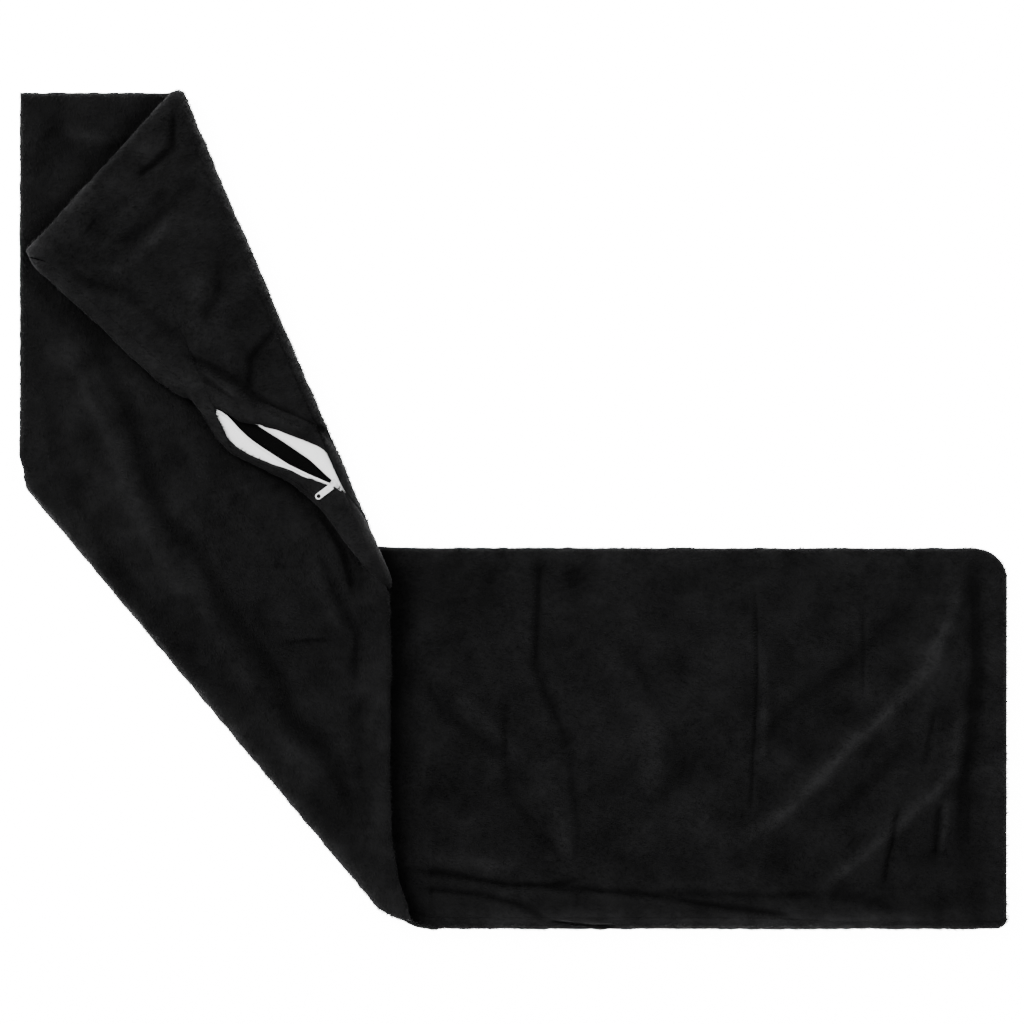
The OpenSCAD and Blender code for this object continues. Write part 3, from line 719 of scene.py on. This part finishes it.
def coil(name, side, ZR):
    """The nylon coil: one flattened spring sewn along the tape's inner edge."""
    j0 = ZR[1:]
    y0 = (TAPF if side > 0 else TAPB)[j0]
    high = mix(0.5, 2.4, OPEN[j0])
    c_lo = place(j0, y0 + side * 0.25, high)
    c_hi = place(j0, y0 + side * (2.6 / SL[j0] + 0.25), high)
    mid = (c_lo + c_hi) / 2
    s = np.concatenate([[0], np.cumsum(np.linalg.norm(np.diff(mid, axis=0), axis=1))])
    pitch = 1.5
    turns = int(s[-1] / pitch)
    per = 10
    q = np.linspace(0, turns * pitch, turns * per + 1)
    ang = q / pitch * 2 * math.pi

    def on(p):
        return np.stack([np.interp(q, s, p[:, i]) for i in range(3)], -1)

    m, lo, hi = on(mid), on(c_lo), on(c_hi)
    across = hi - lo
    wide = np.linalg.norm(across, axis=1)
    across = across / np.maximum(1e-9, wide)[:, None]
    tang = np.gradient(m, axis=0)
    tang /= np.maximum(1e-9, np.linalg.norm(tang, axis=1))[:, None]
    upv = np.cross(tang, across)
    upv /= np.maximum(1e-9, np.linalg.norm(upv, axis=1))[:, None]
    path = m + across * (np.cos(ang) * 1.25)[:, None] + upv * (np.sin(ang) * 0.62)[:, None]
    t2 = np.gradient(path, axis=0)
    t2 /= np.maximum(1e-9, np.linalg.norm(t2, axis=1))[:, None]
    n1 = np.cross(t2, upv)
    n1 /= np.maximum(1e-9, np.linalg.norm(n1, axis=1))[:, None]
    n2 = np.cross(t2, n1)
    k = (np.arange(5) * 2 * math.pi / 5)[None, :, None]
    ring = np.cos(k) * n1[:, None, :] + np.sin(k) * n2[:, None, :]
    return mesh_from_grid(name, path[:, None, :] + 0.33 * ring)


coil_front = coil("zip_coil_nylon_front", 1, ZS)
coil_back = coil("zip_coil_nylon_back", -1, ZS)
coil_open_front = coil("zip_coil_mouth_front", 1, ZM)
coil_open_back = coil("zip_coil_mouth_back", -1, ZM)


# ---------------------------------------------------------------- the pile
def blades(name, roots, normals, combs, length, width, lean, shade):
    """Short tapering tufts of pile, each bent once, leaning along the comb."""
    n = len(roots)
    t = combs - normals * np.sum(combs * normals, 1)[:, None]
    t /= np.maximum(1e-9, np.linalg.norm(t, axis=1))[:, None]
    w = np.cross(normals, t)
    tilt = rng.uniform(-0.5, 0.5, n)[:, None]
    w = w * np.cos(tilt) + normals * np.sin(tilt)
    base = roots - normals * 0.5
    m = base + (normals * np.sin(lean)[:, None] + t * np.cos(lean)[:, None]) * (length * 0.55)[:, None]
    low = lean * 0.25
    tip = m + (normals * np.sin(low)[:, None] + t * np.cos(low)[:, None]) * (length * 0.45)[:, None]
    hw = (width / 2)[:, None]
    v = np.stack([base - w * hw, base + w * hw, m + w * hw * 0.8, m - w * hw * 0.8, tip], 1)
    v[..., 2] = np.maximum(v[..., 2], MIN_THICK)
    i = np.arange(n)[:, None] * 5
    quads = i + np.array([[0, 1, 2, 3]])
    tris = i + np.array([[3, 2, 4]])
    me = bpy.data.meshes.new(name)
    me.vertices.add(n * 5)
    me.vertices.foreach_set("co", v.reshape(-1) * MM)
    loops = np.concatenate([quads, tris], 1).reshape(-1)
    me.loops.add(len(loops))
    me.loops.foreach_set("vertex_index", loops)
    me.polygons.add(2 * n)
    me.polygons.foreach_set("loop_start", (np.arange(n)[:, None] * 7 + np.array([[0, 4]])).reshape(-1))
    me.update(calc_edges=True)
    me.validate()
    col = me.color_attributes.new("shade", "FLOAT_COLOR", "POINT")
    c = np.ones((n, 5, 4))
    # painted shade at each tuft's root, painted highlight at its tip
    c[..., :3] = shade[:, None, None] * np.array([0.55, 0.55, 0.95, 0.95, 1.25])[None, :, None]
    col.data.foreach_set("color", c.reshape(-1))
    me.polygons.foreach_set("use_smooth", [True] * (2 * n))
    return link(bpy.data.objects.new(name, me))


def scatter(D, pick, per_mm2):
    """Random points on a grid, spread evenly by area over its picked cells, with the cell of each."""
    A = np.linalg.norm(np.cross(D[1:, :-1] - D[:-1, :-1], D[:-1, 1:] - D[:-1, :-1]), axis=2)
    A = np.where(pick[:-1, :-1], A, 0)
    n = int(A.sum() * per_mm2)
    cdf = np.cumsum(A.ravel())
    k = np.searchsorted(cdf, rng.uniform(0, cdf[-1], n))
    i, j = np.unravel_index(np.minimum(k, A.size - 1), A.shape)
    a, b = rng.uniform(0, 1, n)[:, None], rng.uniform(0, 1, n)[:, None]
    p = (D[i, j] * (1 - a) + D[i + 1, j] * a) * (1 - b) + (D[i, j + 1] * (1 - a) + D[i + 1, j + 1] * a) * b
    return i, j, p


def sow(name, D, N, pick, comb_angle, per_mm2):
    """Tufts on a panel."""
    i, j, p = scatter(D, pick & (N[..., 2] > -0.55), per_mm2)
    n = len(p)
    nn = grid_normals(D)
    if np.sum(nn[..., 2] * N[..., 2]) < 0:
        nn = -nn
    nn = nn[i, j]
    x, y = p[:, 0], p[:, 1]
    ang = math.radians(comb_angle) + 0.75 * noise2(x, y, 34, 11) + 0.6 * noise2(x, y, 12, 12) \
        + rng.normal(0, 0.28, n)
    comb = np.stack([np.cos(ang), np.sin(ang), rng.normal(0, 0.1, n)], -1)
    length = rng.uniform(3.2, 5.6, n)
    width = rng.uniform(0.35, 0.75, n)
    lean = np.clip(rng.normal(0.55, 0.14, n) + 0.2 * noise2(x, y, 15, 13), 0.15, 1.1)
    shade = 1 + 0.16 * noise2(x, y, 40, 14) + 0.2 * noise2(x, y, 9, 15) + rng.normal(0, 0.1, n)
    # the pile's random tone, times the painted shade and highlight of the folds and edges
    shade = np.clip(shade, 0.4, 1.7) * painted_shade_and_highlight(ZONE[i], x, y)
    return blades(name, p, nn, comb, length, width, lean, shade)


def sow_lip(name, D, N, comb_angle, per_mm2):
    """Shorter tufts on a lip of the mouth."""
    pick = np.zeros(D.shape[:2], bool)
    pick[:, 2:30] = True
    i, j, p = scatter(D, pick, per_mm2)
    n = len(p)
    up = np.where(N[..., 2:3] < -0.2, -N, N)
    x, y = p[:, 0], p[:, 1]
    ang = math.radians(comb_angle) + 0.6 * noise2(x, y, 14, 12) + rng.normal(0, 0.35, n)
    comb = np.stack([np.cos(ang), np.sin(ang), rng.normal(0, 0.1, n)], -1)
    shade = np.clip(1.35 + 0.2 * noise2(x, y, 9, 15) + rng.normal(0, 0.1, n), 0.4, 1.9)
    length = rng.uniform(2.6, 4.4, n)
    width = rng.uniform(0.4, 0.75, n)
    lean = np.clip(rng.normal(0.6, 0.15, n), 0.2, 1.1)
    return blades(name, p, up[i, j], comb, length, width, lean, shade)


DENSITY = 0.26  # tufts on a square millimetre
column = np.arange(back_pts.shape[1])[None, :]
on_wedge = (ZONE == WEDGE)[:, None] & (front_pts[..., 0] > -131) & (front_pts[..., 1] < -30)
pile_flap = sow("pile_flap", front_pts, front_n, np.isin(ZONE, (FLAP, FARC))[:, None], 40, DENSITY)
pile_leg = sow("pile_open_leg", front_pts, front_n, (ZONE == LEG)[:, None] | on_wedge, 10, DENSITY)
pile_upper = sow("pile_upper_leg", back_pts, back_n, np.isin(ZONE, (UPPER, CARC))[:, None], -60, DENSITY)
edge_pick = np.isin(ZONE, (FLAP, LEG, WEDGE))[:, None] & (column > ACROSS + 4)
pile_edge = sow("pile_zip_edge", back_pts, back_n, edge_pick, 20, DENSITY * 1.2)
pile_lip_front = sow_lip("pile_lip_front", lip_front_pts, lip_front_n, 55, DENSITY * 1.15)
pile_lip_back = sow_lip("pile_lip_back", lip_back_pts, lip_back_n, -130, DENSITY * 1.15)

# ---------------------------------------------------------------- materials


def material(name):
    """A new material with its node tree and its Principled node."""
    m = bpy.data.materials.new(name)
    m.use_nodes = True
    nt = m.node_tree
    nt.nodes.clear()
    out = nt.nodes.new("ShaderNodeOutputMaterial")
    b = nt.nodes.new("ShaderNodeBsdfPrincipled")
    nt.links.new(b.outputs[0], out.inputs[0])
    return m, nt, b


def ramp(nt, src, *stops):
    """A colour ramp on an output."""
    r = nt.nodes.new("ShaderNodeValToRGB")
    e = r.color_ramp.elements
    while len(e) < len(stops):
        e.new(0.5)
    for el, (pos, col) in zip(e, stops):
        el.position = pos
        el.color = (*col, 1)
    nt.links.new(src, r.inputs[0])
    return r.outputs[0]


def tex(nt, kind, scale, vec, **values):
    """A texture node of the given scale on the coordinates vec."""
    t = nt.nodes.new(kind)
    t.inputs["Scale"].default_value = scale
    for k, v in values.items():
        t.inputs[k].default_value = v
    nt.links.new(vec, t.inputs["Vector"])
    return t


def add_bump(nt, b, height, strength, metres):
    """Bump on the Principled node b."""
    bump = nt.nodes.new("ShaderNodeBump")
    bump.inputs["Strength"].default_value = strength
    bump.inputs["Distance"].default_value = metres
    nt.links.new(height, bump.inputs["Height"])
    nt.links.new(bump.outputs[0], b.inputs["Normal"])


def plush(name, tone=1.0, tufts=False, shaded=False):
    """Black plush. With tufts or shaded its colour is multiplied by the mesh's shade attribute, which holds
    painted shade and highlight and, on the tufts, random tone.
    """
    m, nt, b = material(name)
    co = nt.nodes.new("ShaderNodeTexCoord").outputs["Object"]
    n1 = tex(nt, "ShaderNodeTexNoise", 26.0, co, Detail=6.0, Roughness=0.6)
    lo, hi = 0.0012 * tone, 0.0040 * tone
    dark = (lo * 1.5, lo * 1.5, lo * 1.55)
    pale = (hi * 1.3, hi * 1.3, hi * 1.34)
    col = ramp(nt, n1.outputs["Fac"], (0.30, dark), (0.72, pale))
    if tufts or shaded:
        at = nt.nodes.new("ShaderNodeVertexColor")
        at.layer_name = "shade"
        mul = nt.nodes.new("ShaderNodeMix")
        mul.data_type = "RGBA"
        mul.blend_type = "MULTIPLY"
        mul.inputs["Factor"].default_value = 1.0
        nt.links.new(col, mul.inputs["A"])
        nt.links.new(at.outputs["Color"], mul.inputs["B"])
        col = mul.outputs["Result"]
    nt.links.new(col, b.inputs["Base Color"])
    b.inputs["Roughness"].default_value = 0.75 if tufts else 0.9
    b.inputs["Specular IOR Level"].default_value = 0.04
    b.inputs["Sheen Weight"].default_value = 0.035 if tufts else 0.03
    b.inputs["Sheen Roughness"].default_value = 0.4
    b.inputs["Sheen Tint"].default_value = (0.5, 0.5, 0.52, 1)
    if not tufts:
        w = tex(nt, "ShaderNodeTexNoise", 420.0, co, Detail=5.0, Roughness=0.7)
        add_bump(nt, b, w.outputs["Fac"], 0.6, 2 * MM)
    return m


def grey(value):
    return (value, value, value)


def tape_material():
    """White tape: a fine weave along and across it."""
    m, nt, b = material("woven_tape")
    uv = nt.nodes.new("ShaderNodeUVMap")
    uv.uv_map = "cloth"
    w1 = tex(nt, "ShaderNodeTexWave", 8.0, uv.outputs[0], Distortion=0.4, Detail=1.0)
    w1.bands_direction = "X"
    w2 = tex(nt, "ShaderNodeTexWave", 5.0, uv.outputs[0], Distortion=0.3, Detail=1.0)
    w2.bands_direction = "Y"
    mx = nt.nodes.new("ShaderNodeMath")
    mx.operation = "MULTIPLY"
    nt.links.new(w1.outputs["Fac"], mx.inputs[0])
    nt.links.new(w2.outputs["Fac"], mx.inputs[1])
    n = tex(nt, "ShaderNodeTexNoise", 3.0, uv.outputs[0], Detail=3.0)
    blend = nt.nodes.new("ShaderNodeMix")
    blend.data_type = "RGBA"
    blend.inputs["Factor"].default_value = 0.35
    c1 = ramp(nt, mx.outputs[0], (0.0, grey(0.80)), (0.7, grey(0.98)))
    c2 = ramp(nt, n.outputs["Fac"], (0.3, grey(0.84)), (0.7, grey(0.99)))
    nt.links.new(c1, blend.inputs["A"])
    nt.links.new(c2, blend.inputs["B"])
    nt.links.new(blend.outputs["Result"], b.inputs["Base Color"])
    b.inputs["Roughness"].default_value = 0.8
    b.inputs["Sheen Weight"].default_value = 0.15
    add_bump(nt, b, mx.outputs[0], 0.5, 0.6 * MM)
    return m


def hard(name, base, rough, scale=900.0, vary=0.06, bump_mm=0.02):
    """A plain material whose colour varies a little."""
    m, nt, b = material(name)
    co = nt.nodes.new("ShaderNodeTexCoord").outputs["Object"]
    n = tex(nt, "ShaderNodeTexNoise", scale, co, Detail=4.0)
    a = tuple(max(0, c * (1 - vary)) for c in base)
    z = tuple(min(1, c * (1 + vary)) for c in base)
    nt.links.new(ramp(nt, n.outputs["Fac"], (0.35, a), (0.65, z)), b.inputs["Base Color"])
    b.inputs["Roughness"].default_value = rough
    add_bump(nt, b, n.outputs["Fac"], 0.4, bump_mm * MM)
    return m


M_PLUSH = plush("black_plush", 1.0, shaded=True)
M_LIP = plush("black_plush_lip", 1.5)
M_PILE = plush("black_pile", 1.0, tufts=True)
M_TAPE = tape_material()
M_COIL = hard("nylon_coil", grey(0.86), 0.35)
M_SLIDER = hard("painted_slider", grey(0.60), 0.35)
M_THREAD = hard("black_thread", (0.012, 0.012, 0.013), 0.8, 2500.0, 0.5, 0.1)


def give(obj, mat):
    obj.data.materials.clear()
    obj.data.materials.append(mat)


lips = (lip_front, lip_back)
pile_front = [pile_flap, pile_leg]
pile_back = [pile_upper, pile_edge]
lip_pile = (pile_lip_front, pile_lip_back)
piles = (*pile_front, *pile_back, *lip_pile)
tapes = (tape_front, tape_back, tape_open_front, tape_open_back)
coils = (coil_front, coil_back, coil_open_front, coil_open_back)
panels = (front, back)
for group, mat in ((panels, M_PLUSH), (lips, M_LIP), (piles, M_PILE), (tapes, M_TAPE), (coils, M_COIL)):
    for o in group:
        give(o, mat)
for node in ("slider_body", "pull_tab"):
    give(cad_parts[node], M_SLIDER)
for node in ("bartack_open_end", "bartack_closed_end", "seam_thread_long", "seam_thread_flap_end",
             "seam_thread_open_end", "seam_thread_zip_side", "zip_stitch_front", "zip_stitch_back"):
    give(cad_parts[node], M_THREAD)

# ---------------------------------------------------------------- what rides on what
plush_pieces = (*panels, *lips, *piles)
for o in (*plush_pieces, *tapes, *coils):
    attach(o, "cover")
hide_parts("plush_panel_front")
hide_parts("plush_panel_back")
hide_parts("zip_tape_front")
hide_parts("zip_tape_back")
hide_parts("zip_coil_front")
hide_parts("zip_coil_back")

# the mouth's tapes, coils, lips and lip pile get meshes of their own, as the mouth closes when the slider
# runs along it
for o in (tape_open_front, tape_open_back, coil_open_front, coil_open_back):
    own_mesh(o)
for o in (*lips, *lip_pile):
    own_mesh(o)

# ---------------------------------------------------------------- floor and light
fm = bpy.data.meshes.new("floor")
fm.from_pydata([(-6, -6, 0), (6, -6, 0), (6, 6, 0), (-6, 6, 0)], [], [(0, 1, 2, 3)])
floor = link(bpy.data.objects.new("floor", fm))
mfl, ntf, bf = material("floor_white")
nf = tex(ntf, "ShaderNodeTexNoise", 3.0, ntf.nodes.new("ShaderNodeTexCoord").outputs["Object"])
ntf.links.new(ramp(ntf, nf.outputs["Fac"], (0.0, grey(0.9)), (1.0, grey(0.92))), bf.inputs["Base Color"])
bf.inputs["Roughness"].default_value = 1.0
bf.inputs["Emission Color"].default_value = (1, 1, 1, 1)
bf.inputs["Emission Strength"].default_value = 14.0
bf.inputs["Specular IOR Level"].default_value = 0.0
give(floor, mfl)

world = bpy.data.worlds.new("studio")
bpy.context.scene.world = world
world.use_nodes = True
world.node_tree.nodes["Background"].inputs[0].default_value = (1, 1, 1, 1)
world.node_tree.nodes["Background"].inputs[1].default_value = 1.1


def area(name, loc, size, power):
    """A soft light aimed at the middle of the floor."""
    ld = bpy.data.lights.new(name, "AREA")
    ld.shape = "RECTANGLE"
    ld.size, ld.size_y = size
    ld.energy = power
    lo = link(bpy.data.objects.new(name, ld))
    lo.location = loc
    x, y, z = loc
    lo.rotation_euler = (math.atan2(math.hypot(x, y), z), 0, math.atan2(-y, -x) + math.pi * 1.5)


area("key", (-2.3, 1.9, 1.7), (1.3, 1.3), 260)
area("fill", (2.2, -1.0, 2.4), (2.0, 2.0), 110)
